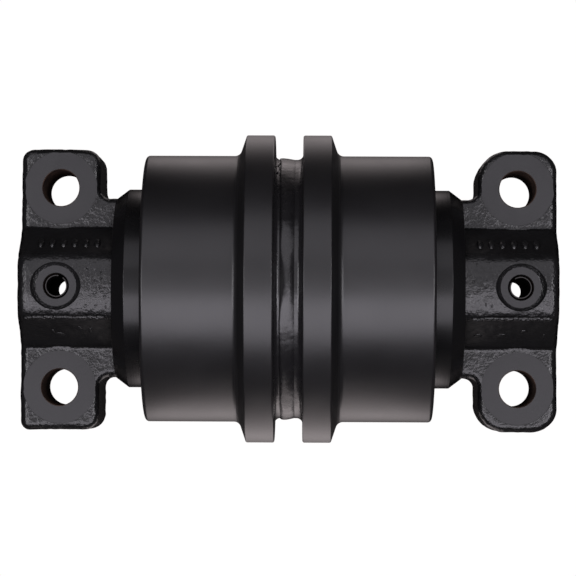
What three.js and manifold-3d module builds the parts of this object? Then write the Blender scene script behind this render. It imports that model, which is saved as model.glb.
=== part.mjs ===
// Track roller of a tracked excavator: a sealed, oil-filled steel roller that turns without limit
// on a fixed shaft, which two bolt-on collars hold under the track frame.
//
// Units are millimetres. The shaft's axis is Y and its midpoint is the origin. The mounting bolts
// go in from +Z, and the collars' mounting faces look down, to -Z. "left" is the -Y end.
// Two shell halves, two flanged bushes and the turning half of each floating seal turn together;
// everything else stays with the shaft.

import * as THREE from "three";
import { mergeVertices } from "three/addons/utils/BufferGeometryUtils.js";
import Module from "manifold-3d";

const wasm = await Module();
wasm.setup();

// ---------------------------------------------------------------- driving dimensions

const SIDES = [
  ["left", -1],
  ["right", 1],
];
const GAP = 0.3; // between pieces that touch or run together on the real roller

const ROUND = 44; // facets of the large round pieces
const SMALL_ROUND = 28; // facets of the seals and bushes
const HOLE_ROUND = 24; // facets of holes and pins

// Shaft
const SHAFT_RADIUS = 32.5;
const SHAFT_HALF_LENGTH = 174;
const SHAFT_CHAMFER = 2;
const CENTRE_DRILL_RADIUS = 5;
const CENTRE_DRILL_DEPTH = 7;
const BORE_RADIUS = SHAFT_RADIUS + GAP;

// Roller shell
const TREAD_RADIUS = 90;
const FLANGE_RADIUS = 104;
const SHELL_HALF_WIDTH = 96.5;
const SHELL_CORNER = 2.5;
const RIM_OUTER_EDGE = 28.6; // where the flange's rim ends and its steep flank starts
const FLANK_LEAN = 18; // degrees between the flank and a flat face across the shaft
const FLANK_FOOT = 36.9; // where the flank's fillet runs out into the tread
const FLANK_FILLET = 5;
const GROOVE_RADIUS = 87.5;
const GROOVE_HALF_WIDTH = 9.5;
const GROOVE_FILLET = 4;
const WELD_HALF_WIDTH = 4.2;
const WELD_ROOT_RADIUS = 80;
const OIL_RADIUS = 46;
const OIL_HALF_WIDTH = 22;

// Flanged bushes
const BUSH_WALL = 5.2;
const BUSH_INNER_END = 30;
const BUSH_FLANGE_RADIUS = 47;
const BUSH_FLANGE_INNER = 70;
const BUSH_FLANGE_OUTER = 75;
const BUSH_OUTER_RADIUS = BORE_RADIUS + BUSH_WALL;

// Floating seals: a pair of metal rings that meet at SEAL_PLANE, each on its own rubber toric ring
const SEAL_PLANE = 85.2;
const SEAL_BORE_RADIUS = 42.5;
const SEAL_HEIGHT = 9.6;
const TORIC_CENTRE_RADIUS = 52.6;
const TORIC_SETBACK = 7.8; // from the seal face to the toric ring's middle
const TORIC_SECTION_RADIUS = 3.7;
const HOUSING_DEPTH = TORIC_SETBACK + TORIC_SECTION_RADIUS + GAP;
const HOUSING_ROOT_RADIUS = 56.6;
const HOUSING_MOUTH_RADIUS = 58;

// Collars
const COLLAR_END = 180;
const MOUNT_Z = -45; // the mounting face
const EAR_Z = 19.5; // the ears' upper face
const EAR_INNER = 127;
const REAR_REACH = 93;
const WEB_INNER = 111;
const WEB_REACH = 60;
const WEB_FILLET = 7;
const EDGE_BREAK = 3;
// How far the ears reach to the front, and the radii of their corners
const EARS = {
  left: { frontReach: 95.5, rearOuter: 8, rearInner: 10, frontOuter: 6, frontInner: 10 },
  right: { frontReach: 96, rearOuter: 15, rearInner: 20, frontOuter: 16, frontInner: 18 },
};
const HUB_RADIUS = 67;
const HUB_RIM = 87.8;
const HUB_SHOULDER = 108; // where the hub starts to taper towards the barrel
const HUB_BACK = 116.6; // and where the taper ends, at the radius below
const HUB_BACK_RADIUS = 60.5;
const NOSE_RADIUS = 41;
const NOSE_END = BUSH_FLANGE_OUTER + 0.4; // 0.4 mm of end play at each end
const BARREL_INNER = 104;
const BARREL_REACH = 41; // half the barrel's width, level with the ears' upper face
const CROWN_REACH = 20.5; // half the width of its crowned top
const CROWN_TOP = 56;
const CROWN_RADIUS = 58;
const O_RING_Y = 104.5;
const O_RING_SECTION_RADIUS = 1.7;
const O_RING_CENTRE_RADIUS = 34.65;
const O_RING_GROOVE_RADIUS = 36.7;
const O_RING_GROOVE_HALF_WIDTH = 2.4;

// Bolt holes, for M22 bolts, and the lock pins
const BOLT_Y = 153.5;
const BOLT_X = 67;
const BOLT_HOLE_RADIUS = 12.25;
const SPOT_FACE_RADIUS = 24.5;
const SPOT_FACE_DEPTH = 0.8;
const SCALLOP_RADIUS = 28;
const PIN_RADIUS = 8;
const PIN_WALL = 1.6;
const PIN_SLOT = 2.4;
const PIN_TOP = 49;
const PIN_BOTTOM = -43;
const PIN_HOLE_RADIUS = PIN_RADIUS + GAP;
const PIN_SEAT_Z = 51.5; // floor of the countersunk seat around the pin's hole
const PIN_SEAT_RADIUS = 14;
const PIN_SEAT_SLOPE = 0.65; // how far the seat's wall leans out for each millimetre of height
const PIN_SLOT_ANGLE = { left: 155, right: 225 }; // degrees about Z, from +X towards +Y

// Oil gallery, beside the shaft's centre so that it passes the lock pin
const GALLERY_X = 18;
const GALLERY_RADIUS = 4;
const PLUG_RADIUS = 7;
const PLUG_LENGTH = 12;
const PLUG_HEX = 6; // across the flats of the socket
const PLUG_RECESS = 2;

// ---------------------------------------------------------------- finishes

const finish = (color, roughness, metalness) =>
  new THREE.MeshStandardMaterial({ color, roughness, metalness });

const FINISHES = {
  shellPaint: finish(0x1c1b1c, 0.42, 0.1),
  castPaint: finish(0x171718, 0.36, 0.1),
  weldPaint: finish(0x141414, 0.3, 0.1),
  steel: finish(0x7f8284, 0.35, 0.9),
  springSteel: finish(0x2a2928, 0.4, 0.7),
  bronze: finish(0xa9793f, 0.35, 0.9),
  sealIron: finish(0x8e9092, 0.25, 0.9),
  rubber: finish(0x101010, 0.7, 0),
};

// ---------------------------------------------------------------- shaping helpers

const degrees = THREE.MathUtils.degToRad;

// Points of an arc in a turned profile: 0 degrees points away from the shaft, 90 along it.
function arc(centreRadius, centreY, radius, from, to, steps) {
  return Array.from({ length: steps + 1 }, (_, i) => {
    const angle = degrees(from + ((to - from) * i) / steps);
    return [centreRadius + radius * Math.cos(angle), centreY + radius * Math.sin(angle)];
  });
}

// A body turned about Y from a profile of [radius, y] points. A profile that starts on the axis
// ends on it; any other closes on itself. side -1 mirrors it to the left end.
function turned(profile, side = 1, facets = ROUND) {
  const points = profile.map(([radius, y]) => new THREE.Vector2(radius, side * y));
  if (THREE.ShapeUtils.isClockWise(points)) points.reverse();
  if (points[0].x > 0) points.push(points[0].clone());
  return new THREE.LatheGeometry(points, facets);
}

// An upright cylinder or cone frustum between two heights.
function upright(x, y, bottom, top, bottomRadius, topRadius = bottomRadius, facets = HOLE_ROUND) {
  return new THREE.CylinderGeometry(topRadius, bottomRadius, top - bottom, facets)
    .rotateX(Math.PI / 2)
    .translate(x, y, (top + bottom) / 2);
}

// A closed outline through corners given as [x, y, radius], each rounded to its radius.
function roundedOutline(corners) {
  const shape = new THREE.Shape();
  corners.forEach(([x, y, radius], i) => {
    const corner = new THREE.Vector2(x, y);
    const before = corners[(i + corners.length - 1) % corners.length];
    const after = corners[(i + 1) % corners.length];
    const toBefore = new THREE.Vector2(before[0], before[1]).sub(corner).normalize();
    const toAfter = new THREE.Vector2(after[0], after[1]).sub(corner).normalize();
    const half = Math.acos(toBefore.dot(toAfter)) / 2;
    const start = corner.clone().addScaledVector(toBefore, radius / Math.tan(half));
    const end = corner.clone().addScaledVector(toAfter, radius / Math.tan(half));
    if (i === 0) shape.moveTo(start.x, start.y);
    else shape.lineTo(start.x, start.y);
    if (radius === 0) return;
    const inward = toBefore.clone().add(toAfter).normalize();
    const centre = corner.clone().addScaledVector(inward, radius / Math.sin(half));
    const from = start.clone().sub(centre).angle();
    const to = end.clone().sub(centre).angle();
    const clockwise = toBefore.cross(toAfter) > 0;
    shape.absarc(centre.x, centre.y, radius, from, to, clockwise);
  });
  shape.closePath();
  return shape;
}

// The manifold-3d solid of a closed geometry, for cutting and joining.
function solid(geometry) {
  const bare = geometry.clone();
  bare.deleteAttribute("normal");
  bare.deleteAttribute("uv");
  const merged = mergeVertices(bare, 1e-4);
  return new wasm.Manifold(
    new wasm.Mesh({
      numProp: 3,
      vertProperties: new Float32Array(merged.attributes.position.array),
      triVerts: new Uint32Array(merged.index.array),
    }),
  );
}

function geometryOf(body) {
  const mesh = body.getMesh();
  return new THREE.BufferGeometry()
    .setAttribute("position", new THREE.BufferAttribute(mesh.vertProperties, 3))
    .setIndex(new THREE.BufferAttribute(mesh.triVerts, 1));
}

const cut = (body, cutters) => cutters.reduce((rest, c) => rest.subtract(solid(c)), body);
const join = (pieces) => pieces.map(solid).reduce((whole, piece) => whole.add(piece));

const roller = new THREE.Group();

function addPiece(name, geometry, material) {
  const mesh = new THREE.Mesh(geometry, material);
  mesh.name = name;
  roller.add(mesh);
}

// ---------------------------------------------------------------- turning pieces

// Half of the roller: bush bore, seal housing, end recess, tread, flank, flange and weld groove.
function shellHalf(side) {
  return turned(
    [
      [OIL_RADIUS, GAP / 2],
      [OIL_RADIUS, OIL_HALF_WIDTH],
      [BUSH_OUTER_RADIUS + GAP, OIL_HALF_WIDTH + 6],
      [BUSH_OUTER_RADIUS + GAP, BUSH_FLANGE_INNER - GAP],
      [BUSH_FLANGE_RADIUS + GAP, BUSH_FLANGE_INNER - GAP],
      [BUSH_FLANGE_RADIUS + GAP, SEAL_PLANE - GAP / 2 - HOUSING_DEPTH],
      [HOUSING_ROOT_RADIUS, SEAL_PLANE - GAP / 2 - HOUSING_DEPTH],
      [HOUSING_MOUTH_RADIUS, HUB_RIM - 4],
      [HOUSING_MOUTH_RADIUS, HUB_RIM - 1.5],
      [HUB_RADIUS + 2, HUB_RIM - 1.5],
      [HUB_RADIUS + 2, SHELL_HALF_WIDTH],
      ...arc(TREAD_RADIUS - SHELL_CORNER, SHELL_HALF_WIDTH - SHELL_CORNER, SHELL_CORNER, 90, 0, 2),
      ...arc(TREAD_RADIUS + FLANK_FILLET, FLANK_FOOT, FLANK_FILLET, 180, 270 - FLANK_LEAN, 3),
      [FLANGE_RADIUS - 1, RIM_OUTER_EDGE + 0.3],
      [FLANGE_RADIUS, RIM_OUTER_EDGE - 0.8],
      [FLANGE_RADIUS, GROOVE_HALF_WIDTH + 1],
      [FLANGE_RADIUS - 1, GROOVE_HALF_WIDTH],
      ...arc(GROOVE_RADIUS + GROOVE_FILLET, GROOVE_HALF_WIDTH - GROOVE_FILLET, GROOVE_FILLET, 90, 180, 2),
      [GROOVE_RADIUS, WELD_HALF_WIDTH],
      [WELD_ROOT_RADIUS, GAP / 2],
    ],
    side,
  );
}

// The weld that fills the groove between the halves.
function weldSeam() {
  const shoulder = WELD_HALF_WIDTH - 0.45;
  return turned([
    [WELD_ROOT_RADIUS + 1.4, 0],
    [GROOVE_RADIUS + 0.1, shoulder],
    [GROOVE_RADIUS + 0.7, shoulder * 0.55],
    [GROOVE_RADIUS + 0.9, 0],
    [GROOVE_RADIUS + 0.7, -shoulder * 0.55],
    [GROOVE_RADIUS + 0.1, -shoulder],
  ]);
}

function bush(side) {
  return turned(
    [
      [BORE_RADIUS, BUSH_INNER_END],
      [BORE_RADIUS, BUSH_FLANGE_OUTER - 1],
      [BORE_RADIUS + 1, BUSH_FLANGE_OUTER],
      [BUSH_FLANGE_RADIUS, BUSH_FLANGE_OUTER],
      [BUSH_FLANGE_RADIUS, BUSH_FLANGE_INNER],
      [BUSH_OUTER_RADIUS, BUSH_FLANGE_INNER],
      [BUSH_OUTER_RADIUS, BUSH_INNER_END + 1.5],
      [BUSH_OUTER_RADIUS - 1, BUSH_INNER_END],
    ],
    side,
    SMALL_ROUND,
  );
}

// ---------------------------------------------------------------- floating seals

// A metal ring of a floating seal, set back from the seal plane towards the centre (way -1,
// the ring that turns with the shell) or towards the collar (way 1, the ring that stays still).
function sealRing(side, way) {
  const back = (depth) => SEAL_PLANE + way * (GAP / 2 + depth);
  return turned(
    [
      [SEAL_BORE_RADIUS, back(SEAL_HEIGHT)],
      [SEAL_BORE_RADIUS, back(1.2)],
      [48.5, back(0)],
      [53.6, back(0)],
      [54.5, back(1)],
      [54.5, back(3.2)],
      [49.3, back(4.4)],
      [47.6, back(8.2)],
      [48.5, back(SEAL_HEIGHT)],
    ],
    side,
    SMALL_ROUND,
  );
}

function toricRing(side, way) {
  const middle = SEAL_PLANE + way * (GAP / 2 + TORIC_SETBACK);
  const section = arc(TORIC_CENTRE_RADIUS, middle, TORIC_SECTION_RADIUS, 0, 315, 7);
  return turned(section, side, SMALL_ROUND);
}

function shaftORing(side) {
  const section = arc(O_RING_CENTRE_RADIUS, O_RING_Y, O_RING_SECTION_RADIUS, 0, 300, 5);
  return turned(section, side, SMALL_ROUND);
}

// ---------------------------------------------------------------- shaft, pins and plug

function shaft() {
  const end = SHAFT_HALF_LENGTH;
  const rightEnd = [
    [SHAFT_RADIUS, end - SHAFT_CHAMFER],
    [SHAFT_RADIUS - SHAFT_CHAMFER, end],
    [CENTRE_DRILL_RADIUS, end],
    [0, end - CENTRE_DRILL_DEPTH],
  ];
  const leftEnd = rightEnd.map(([radius, y]) => [radius, -y]).reverse();
  const bar = turned([...leftEnd, ...rightEnd]);
  const gallery = turned(
    [
      [0, -6],
      [GALLERY_RADIUS, -4],
      [GALLERY_RADIUS, end - PLUG_LENGTH - PLUG_RECESS - 2],
      [PLUG_RADIUS + GAP, end - PLUG_LENGTH - PLUG_RECESS - GAP],
      [PLUG_RADIUS + GAP, end + 5],
      [0, end + 5],
    ],
    1,
    16,
  ).translate(GALLERY_X, 0, 0);
  const feed = new THREE.CylinderGeometry(GALLERY_RADIUS - 1, GALLERY_RADIUS - 1, 30, 12)
    .rotateZ(Math.PI / 2)
    .translate(GALLERY_X + 15, 0, 0);
  const pinHoles = SIDES.map(([, side]) =>
    upright(0, side * BOLT_Y, -SHAFT_RADIUS - 5, SHAFT_RADIUS + 5, PIN_HOLE_RADIUS),
  );
  return geometryOf(cut(solid(bar), [gallery, feed, ...pinHoles]));
}

// A slotted spring pin: a rolled tube with a slot along it, chamfered at both ends.
function springPin(side, slotAngle) {
  const chamfer = 0.5;
  const inner = PIN_RADIUS - PIN_WALL;
  const outerHalf = Math.asin(PIN_SLOT / 2 / PIN_RADIUS);
  const innerHalf = Math.asin(PIN_SLOT / 2 / inner);
  const section = new THREE.Shape();
  section.absarc(0, 0, PIN_RADIUS, outerHalf, 2 * Math.PI - outerHalf, false);
  section.absarc(0, 0, inner, 2 * Math.PI - innerHalf, innerHalf, true);
  section.closePath();
  return new THREE.ExtrudeGeometry(section, {
    depth: PIN_TOP - PIN_BOTTOM - 2 * chamfer,
    curveSegments: HOLE_ROUND / 2,
    bevelThickness: chamfer,
    bevelSize: chamfer,
    bevelOffset: -chamfer,
    bevelSegments: 1,
  })
    .rotateZ(degrees(slotAngle))
    .translate(0, side * BOLT_Y, PIN_BOTTOM + chamfer);
}

// The oil filler plug, with a blind hexagon socket.
function oilPlug() {
  const top = SHAFT_HALF_LENGTH - PLUG_RECESS;
  const body = turned(
    [
      [0, top - PLUG_LENGTH],
      [PLUG_RADIUS - 1, top - PLUG_LENGTH],
      [PLUG_RADIUS, top - PLUG_LENGTH + 1],
      [PLUG_RADIUS, top - 0.6],
      [PLUG_RADIUS - 0.6, top],
      [0, top],
    ],
    1,
    24,
  );
  const corner = PLUG_HEX / 2 / Math.cos(Math.PI / 6);
  const socket = new THREE.CylinderGeometry(corner, corner, 12, 6).translate(0, top, 0);
  return geometryOf(cut(solid(body), [socket])).translate(GALLERY_X, 0, 0);
}

// ---------------------------------------------------------------- collars

// The ears and the web between them: a plan outline with its own corner radii, raised in Z.
function collarBase(side, ears) {
  const outline = roundedOutline([
    [-WEB_REACH, side * WEB_INNER, 0],
    [-WEB_REACH, side * EAR_INNER, WEB_FILLET],
    [-REAR_REACH, side * EAR_INNER, ears.rearInner],
    [-REAR_REACH, side * COLLAR_END, ears.rearOuter],
    [ears.frontReach, side * COLLAR_END, ears.frontOuter],
    [ears.frontReach, side * EAR_INNER, ears.frontInner],
    [WEB_REACH, side * EAR_INNER, WEB_FILLET],
    [WEB_REACH, side * WEB_INNER, 0],
  ]);
  return new THREE.ExtrudeGeometry(outline, {
    depth: EAR_Z - MOUNT_Z - 2 * EDGE_BREAK,
    curveSegments: 5,
    bevelThickness: EDGE_BREAK,
    bevelSize: EDGE_BREAK,
    bevelOffset: -EDGE_BREAK,
    bevelSegments: 1,
  }).translate(0, 0, MOUNT_Z + EDGE_BREAK);
}

// The barrel over the shaft: sloping flanks under a crowned top, scalloped beside each bolt's seat.
function collarBarrel(side) {
  const arch = new THREE.Shape();
  arch.moveTo(-BARREL_REACH, 0);
  arch.lineTo(BARREL_REACH, 0);
  arch.lineTo(BARREL_REACH, EAR_Z);
  const first = Math.acos(CROWN_REACH / CROWN_RADIUS);
  arch.absarc(0, CROWN_TOP - CROWN_RADIUS, CROWN_RADIUS, first, Math.PI - first);
  arch.lineTo(-BARREL_REACH, EAR_Z);
  arch.closePath();
  const barrel = new THREE.ExtrudeGeometry(arch, {
    depth: COLLAR_END - BARREL_INNER - 2 * EDGE_BREAK,
    curveSegments: 8,
    bevelThickness: EDGE_BREAK,
    bevelSize: EDGE_BREAK,
    bevelOffset: -EDGE_BREAK,
    bevelSegments: 1,
  })
    .rotateX(Math.PI / 2)
    .translate(0, side > 0 ? COLLAR_END - EDGE_BREAK : -BARREL_INNER - EDGE_BREAK, 0);
  const scallops = [-BOLT_X, BOLT_X].map((x) =>
    upright(x, side * BOLT_Y, EAR_Z - 4, CROWN_TOP, SCALLOP_RADIUS),
  );
  return cut(solid(barrel), scallops);
}

// The round hub: nose against the bush, seal housing, rim inside the shell's end, tapered back.
function collarHub(side) {
  return turned(
    [
      [BORE_RADIUS - 8, NOSE_END],
      [NOSE_RADIUS, NOSE_END],
      [NOSE_RADIUS, SEAL_PLANE + GAP / 2 + HOUSING_DEPTH],
      [HOUSING_ROOT_RADIUS, SEAL_PLANE + GAP / 2 + HOUSING_DEPTH],
      [HOUSING_MOUTH_RADIUS, HUB_RIM],
      [HUB_RADIUS - 1, HUB_RIM],
      [HUB_RADIUS, HUB_RIM + 1],
      [HUB_RADIUS, HUB_SHOULDER - 1],
      [HUB_RADIUS - 0.7, HUB_SHOULDER + 0.9],
      [HUB_BACK_RADIUS + 1, HUB_BACK - 1.2],
      [HUB_BACK_RADIUS - 1, HUB_BACK],
      [BORE_RADIUS - 8, HUB_BACK],
    ],
    side,
  );
}

// What is cut for the shaft: a through bore with a groove for the O-ring and a chamfered mouth.
function shaftBore(side) {
  return turned(
    [
      [0, NOSE_END - 5],
      [BORE_RADIUS, NOSE_END - 5],
      [BORE_RADIUS, O_RING_Y - O_RING_GROOVE_HALF_WIDTH],
      [O_RING_GROOVE_RADIUS, O_RING_Y - O_RING_GROOVE_HALF_WIDTH],
      [O_RING_GROOVE_RADIUS, O_RING_Y + O_RING_GROOVE_HALF_WIDTH],
      [BORE_RADIUS, O_RING_Y + O_RING_GROOVE_HALF_WIDTH],
      [BORE_RADIUS, COLLAR_END - 2],
      [BORE_RADIUS + 3, COLLAR_END + 1],
      [0, COLLAR_END + 1],
    ],
    side,
  );
}

function collar(side, ears) {
  const y = side * BOLT_Y;
  const body = join([collarBase(side, ears), collarHub(side)]).add(collarBarrel(side));
  const boltSeats = [-BOLT_X, BOLT_X].flatMap((x) => [
    upright(x, y, MOUNT_Z - 5, EAR_Z + 5, BOLT_HOLE_RADIUS),
    upright(x, y, EAR_Z - SPOT_FACE_DEPTH, EAR_Z + 5, SPOT_FACE_RADIUS, SPOT_FACE_RADIUS, 32),
  ]);
  const pinHole = upright(0, y, MOUNT_Z - 5, CROWN_TOP, PIN_HOLE_RADIUS);
  const seatTop = PIN_SEAT_Z + 10;
  const seatMouth = PIN_SEAT_RADIUS + 10 * PIN_SEAT_SLOPE;
  const pinSeat = upright(0, y, PIN_SEAT_Z, seatTop, PIN_SEAT_RADIUS, seatMouth);
  return geometryOf(cut(body, [shaftBore(side), pinHole, pinSeat, ...boltSeats]));
}

// ---------------------------------------------------------------- assembly

addPiece("shaft", shaft(), FINISHES.steel);
addPiece("oil_plug", oilPlug(), FINISHES.steel);
addPiece("shell_weld_seam", weldSeam(), FINISHES.weldPaint);

for (const [name, side] of SIDES) {
  addPiece(`shell_half_${name}`, shellHalf(side), FINISHES.shellPaint);
  addPiece(`bush_${name}`, bush(side), FINISHES.bronze);
  addPiece(`seal_ring_turning_${name}`, sealRing(side, -1), FINISHES.sealIron);
  addPiece(`toric_ring_turning_${name}`, toricRing(side, -1), FINISHES.rubber);
  addPiece(`seal_ring_fixed_${name}`, sealRing(side, 1), FINISHES.sealIron);
  addPiece(`toric_ring_fixed_${name}`, toricRing(side, 1), FINISHES.rubber);
  addPiece(`shaft_o_ring_${name}`, shaftORing(side), FINISHES.rubber);
  addPiece(`collar_${name}`, collar(side, EARS[name]), FINISHES.castPaint);
  addPiece(`lock_pin_${name}`, springPin(side, PIN_SLOT_ANGLE[name]), FINISHES.springSteel);
}

export default roller;
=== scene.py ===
import math
from itertools import product

import bmesh
import bpy
import numpy as np
from mathutils import Matrix, Vector, noise


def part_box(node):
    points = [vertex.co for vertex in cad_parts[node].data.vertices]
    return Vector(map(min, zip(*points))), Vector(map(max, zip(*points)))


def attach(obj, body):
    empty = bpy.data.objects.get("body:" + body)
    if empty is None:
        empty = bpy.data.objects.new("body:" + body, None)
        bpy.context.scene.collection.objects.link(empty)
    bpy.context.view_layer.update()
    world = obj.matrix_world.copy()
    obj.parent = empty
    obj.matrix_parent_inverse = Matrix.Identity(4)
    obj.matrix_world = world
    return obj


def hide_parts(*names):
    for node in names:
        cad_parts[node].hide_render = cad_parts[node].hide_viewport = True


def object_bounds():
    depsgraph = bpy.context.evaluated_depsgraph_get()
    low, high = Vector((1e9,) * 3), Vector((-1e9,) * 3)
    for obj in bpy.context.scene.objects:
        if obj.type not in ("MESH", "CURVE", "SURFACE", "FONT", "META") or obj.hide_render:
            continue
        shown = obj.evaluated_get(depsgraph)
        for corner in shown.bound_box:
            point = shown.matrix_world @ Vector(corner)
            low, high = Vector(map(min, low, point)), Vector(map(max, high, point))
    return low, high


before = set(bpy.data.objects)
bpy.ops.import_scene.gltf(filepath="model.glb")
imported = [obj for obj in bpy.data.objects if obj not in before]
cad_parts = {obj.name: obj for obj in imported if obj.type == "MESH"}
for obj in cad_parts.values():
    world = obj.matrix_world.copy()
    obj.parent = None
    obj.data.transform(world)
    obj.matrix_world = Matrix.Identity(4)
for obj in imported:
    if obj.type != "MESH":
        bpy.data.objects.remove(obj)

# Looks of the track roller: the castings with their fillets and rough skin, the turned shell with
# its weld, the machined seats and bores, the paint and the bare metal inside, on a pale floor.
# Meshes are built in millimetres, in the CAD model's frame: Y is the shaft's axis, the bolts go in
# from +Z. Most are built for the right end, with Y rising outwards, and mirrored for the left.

CAD_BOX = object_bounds()
MM = 0.001
SIDES = {"left": -1, "right": 1}
FIXED = "fixed_shaft_and_collars"
TURNING = "roller"


def reach(node, axis):
    """How far a CAD node reaches along an axis, in millimetres."""
    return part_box(node)[1]["xyz".index(axis)] / MM


# ---------------------------------------------------------------- dimensions, in millimetres

FLANGE_RADIUS = reach("shell_half_right", "x")
SHELL_HALF_WIDTH = reach("shell_half_right", "y")
COLLAR_END = reach("collar_right", "y")
REAR_REACH = -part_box("collar_right")[0].x / MM
SHAFT_RADIUS = reach("shaft", "z")
SHAFT_END = reach("shaft", "y")
PIN_TOP = reach("lock_pin_right", "z")
PIN_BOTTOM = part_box("lock_pin_right")[0].z / MM
PLUG_TOP = reach("oil_plug", "y")

TREAD_RADIUS = 90
SHELL_CORNER = 2.5
RIM_OUTER_EDGE = 28.6
FLANK_LEAN = 18
FLANK_FOOT = 36.9
FLANK_FILLET = 5
RIM_EDGE_RADIUS = 1.3
GROOVE_RADIUS = 87.5
GROOVE_HALF_WIDTH = 9.5
GROOVE_FILLET = 4
WELD_HALF_WIDTH = 4.2
WELD_ROOT_RADIUS = 80
OIL_RADIUS = 46
OIL_HALF_WIDTH = 22
END_RECESS_GAP = 1.5  # between the shell's end recess and the hub's rim
HUB_CLEARANCE = 2

GAP = 0.3
BORE_RADIUS = SHAFT_RADIUS + GAP
BUSH_OUTER_RADIUS = BORE_RADIUS + 5.2
BUSH_SEAT_START = 28
BUSH_INNER_END = 30
BUSH_FLANGE_RADIUS = 47
BUSH_FLANGE_INNER = 70
BUSH_FLANGE_OUTER = 75
END_PLAY = 0.4
SEAL_PLANE = 85.2
SEAL_HEIGHT = 9.6
SEAL_BORE_RADIUS = 42.5
TORIC_SETBACK = 7.8
TORIC_SECTION = 3.7
TORIC_CENTRE_RADIUS = 52.6
HOUSING_DEPTH = TORIC_SETBACK + TORIC_SECTION + GAP
HOUSING_ROOT_RADIUS = 56.6
HOUSING_MOUTH_RADIUS = 58
O_RING_Y = 104.5
O_RING_SECTION = 1.7
O_RING_CENTRE_RADIUS = 34.65
O_RING_GROOVE_DEPTH = 3.9
O_RING_GROOVE_HALF_WIDTH = 2.4

MOUNT_Z = -45
EAR_Z = 19.5
EAR_INNER = 127
WEB_INNER = 111
WEB_REACH = 60
WEB_FILLET = 7
CAST_EDGE = 5.2  # radius of the castings' outer edges
CREASE_EDGE = 3  # and of the edges between the barrel's crown, flanks and foot
SCALLOP_EDGE = 0.8  # and where the scallops around the bolt heads cut the barrel
BARREL_FILLET = 1.6
BARREL_INNER = 104
BARREL_REACH = 41
CROWN_REACH = 20.5
CROWN_TOP = 56
CROWN_RADIUS = 58
BARREL_DRAFT = 0.03  # how much the barrel's end leans in, for its height
HUB_RADIUS = 67
HUB_RIM = 87.8
HUB_SHOULDER = 108
HUB_BACK = 116.6
HUB_TAPER = 37
NOSE_RADIUS = 41
EAR_CORNERS = {
    "left": {"rear_outer": 8, "rear_inner": 10, "front_outer": 6, "front_inner": 10},
    "right": {"rear_outer": 15, "rear_inner": 20, "front_outer": 16, "front_inner": 18},
}

BOLT_X = 67
BOLT_Y = 153.5
BOLT_HOLE_RADIUS = 12.25
SPOT_FACE_RADIUS = 24.5
SPOT_FACE_Z = EAR_Z - 0.8
SCALLOP_RADIUS = 28
PIN_RADIUS = 8
PIN_WALL = 1.6
PIN_SLOT = 2.4
PIN_HOLE_RADIUS = PIN_RADIUS + GAP
PIN_SEAT_Z = 51.5
PIN_SEAT_RADIUS = 14
PIN_SLOT_ANGLE = {"left": 155, "right": 225}
SHAFT_CHAMFER = 2
CENTRE_DRILL_RADIUS = 5
CENTRE_DRILL_DEPTH = 7
GALLERY_RADIUS = 4
CROSS_HOLE_RADIUS = 3
PLUG_X = 18
PLUG_RADIUS = 7
PLUG_LENGTH = 12
PLUG_HEX = 6  # across the flats of the plug's socket, and its depth

# ---------------------------------------------------------------- camera, floor and light

CAMERA_HEIGHT = 1.9
CAMERA_OFFSET = (0.057, 0.019)
CAMERA_TARGET = (-0.0007, -0.0007, 0)
CAMERA_ROLL = 0.25
FOCAL_LENGTH = 175.2


def make_camera():
    """The view from straight above, a little to one side: up in the picture is -X, right is +Y."""
    camera = bpy.data.objects.new("camera", bpy.data.cameras.new("camera"))
    bpy.context.scene.collection.objects.link(camera)
    camera.data.lens = FOCAL_LENGTH
    camera.data.sensor_width = 36
    place = Vector((*CAMERA_OFFSET, CAMERA_HEIGHT))
    ahead = (Vector(CAMERA_TARGET) - place).normalized()
    roll = math.radians(CAMERA_ROLL)
    right = ahead.cross(Vector((-math.cos(roll), -math.sin(roll), 0))).normalized()
    up = right.cross(ahead)
    camera.matrix_world = Matrix.Translation(place) @ Matrix((right, up, -ahead)).transposed().to_4x4()
    bpy.context.scene.camera = camera


def soft_box(name, heading, lean, distance, size, power, color):
    """A soft box aimed at the roller, leaning by so many degrees from overhead towards a heading."""
    light = bpy.data.lights.new(name, "AREA")
    light.shape = "RECTANGLE"
    light.size, light.size_y = size
    light.energy = power
    light.color = color
    lamp = bpy.data.objects.new(name, light)
    bpy.context.scene.collection.objects.link(lamp)
    lamp.visible_camera = False
    turn = Matrix.Rotation(math.radians(heading), 4, "Z") @ Matrix.Rotation(math.radians(lean), 4, "Y")
    lamp.matrix_world = turn @ Matrix.Translation((0, 0, distance))


def blend(nodes, links, factor, first, second):
    """A shader that goes from the first to the second as the factor goes from 0 to 1."""
    mix = nodes.new("ShaderNodeMixShader")
    links.new(factor, mix.inputs[0])
    links.new(first.outputs[0], mix.inputs[1])
    links.new(second.outputs[0], mix.inputs[2])
    return mix


def set_ramp(ramp, stops, tint=(1, 1, 1)):
    """Sets a colour ramp's stops from (position, level) pairs."""
    elements = ramp.color_ramp.elements
    while len(elements) < len(stops):
        elements.new(0.5)
    for element, (place, level) in zip(elements, stops):
        element.position = place
        element.color = (*[level * part for part in tint], 1)


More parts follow.
